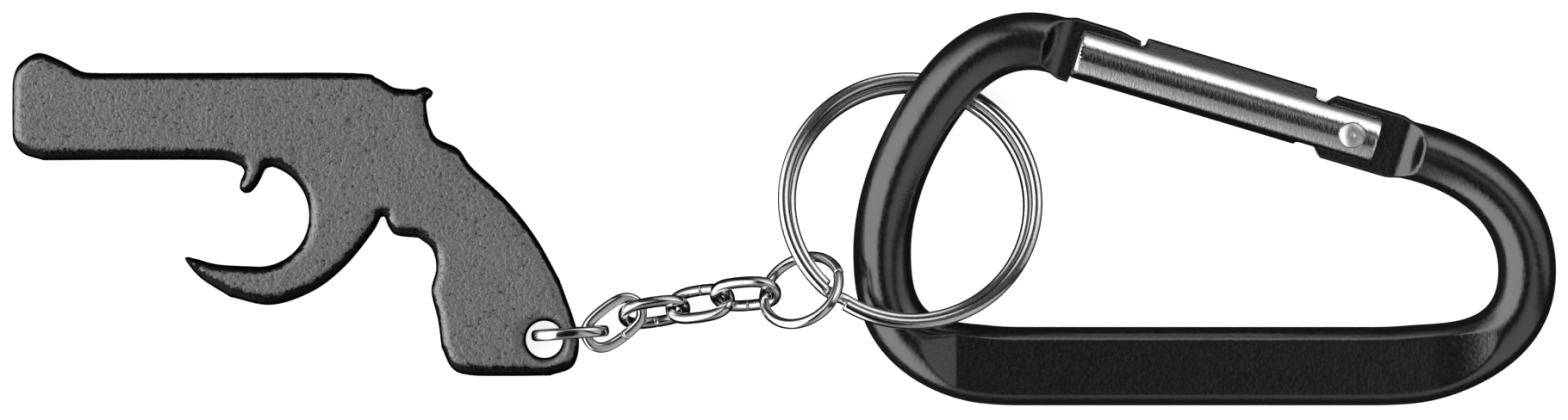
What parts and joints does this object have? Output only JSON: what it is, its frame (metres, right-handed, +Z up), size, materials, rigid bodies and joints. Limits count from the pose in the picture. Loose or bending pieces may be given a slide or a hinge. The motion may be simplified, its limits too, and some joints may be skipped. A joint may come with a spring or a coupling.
{
  "type": "keychain bottle opener",
  "caption": "Flat cast bottle opener shaped like a revolver, on a short wire chain with a split ring and a black spring-gate carabiner.",
  "frame": {"origin": "middle of the laid-out set on the surface it lies on", "axes": "+X along the set from the opener to the carabiner, +Y from the spine towards the gate, +Z up from the surface"},
  "size_m": [0.1759, 0.0448, 0.0118],
  "materials": {
    "opener_metal": "dark satin, tumbled",
    "carabiner_metal": "gloss black anodised",
    "nickel": "bright nickel plate",
    "spring_steel": "plain"
  },
  "bodies": {
    "carabiner": {"carabiner_body": "carabiner_metal"},
    "gate": {"gate_sleeve": "nickel", "hinge_rivet": "nickel", "gate_spring": "spring_steel"},
    "split_ring": {"split_ring": "nickel"},
    "jump_ring": {"jump_ring": "nickel"},
    "link_5": {"chain_link_5": "nickel"},
    "link_4": {"chain_link_4": "nickel"},
    "link_3": {"chain_link_3": "nickel"},
    "link_2": {"chain_link_2": "nickel"},
    "link_1": {"chain_link_1": "nickel"},
    "opener": {"opener_plate": "opener_metal"}
  },
  "joints": [
    {"name": "gate_hinge", "type": "hinge", "parent": "carabiner", "child": "gate", "pos_m": [0.06442, 0.00874, 0.00558], "axis": [0, -0.0854, 0.9963], "range_deg": [0, 36], "stiffness_Nm_per_rad": 0.02, "springref_deg": -28.65, "deforming": ["gate_spring"]},
    {"name": "split_ring_swing", "type": "hinge", "parent": "carabiner", "child": "split_ring", "pos_m": [0.01403, 0.00093, 0.0049], "axis": [-0.3778, -0.9222, -0.0828], "range_deg": [-3, 110]},
    {"name": "jump_ring_swing", "type": "hinge", "parent": "split_ring", "child": "jump_ring", "pos_m": [0.00389, -0.00787, 0.00811], "axis": [0.6608, -0.7359, 0.1474], "range_deg": [-30, 30]},
    {"name": "link_5_swing", "type": "hinge", "parent": "jump_ring", "child": "link_5", "pos_m": [-0.00215, -0.00946, 0.00618], "axis": [-0.1582, -0.8348, 0.5273], "range_deg": [-30, 30]},
    {"name": "link_4_swing", "type": "hinge", "parent": "link_5", "child": "link_4", "pos_m": [-0.00775, -0.00983, 0.00482], "axis": [-0.2414, 0.6752, 0.697], "range_deg": [-30, 30]},
    {"name": "link_3_swing", "type": "hinge", "parent": "link_4", "child": "link_3", "pos_m": [-0.01284, -0.01113, 0.00286], "axis": [0.0922, 0.7919, -0.6037], "range_deg": [-30, 30]},
    {"name": "link_2_swing", "type": "hinge", "parent": "link_3", "child": "link_2", "pos_m": [-0.01794, -0.01218, 0.00248], "axis": [-0.0328, 0.2164, 0.9758], "range_deg": [-20, 30]},
    {"name": "link_1_swing", "type": "hinge", "parent": "link_2", "child": "link_1", "pos_m": [-0.02274, -0.01501, 0.00306], "axis": [-0.2071, 0.9674, 0.1458], "range_deg": [-30, 30]},
    {"name": "opener_swing", "type": "hinge", "parent": "link_1", "child": "opener", "pos_m": [-0.02869, -0.01431, 0.00313], "axis": [0, 0, 1], "range_deg": [-25, 20]}
  ]
}
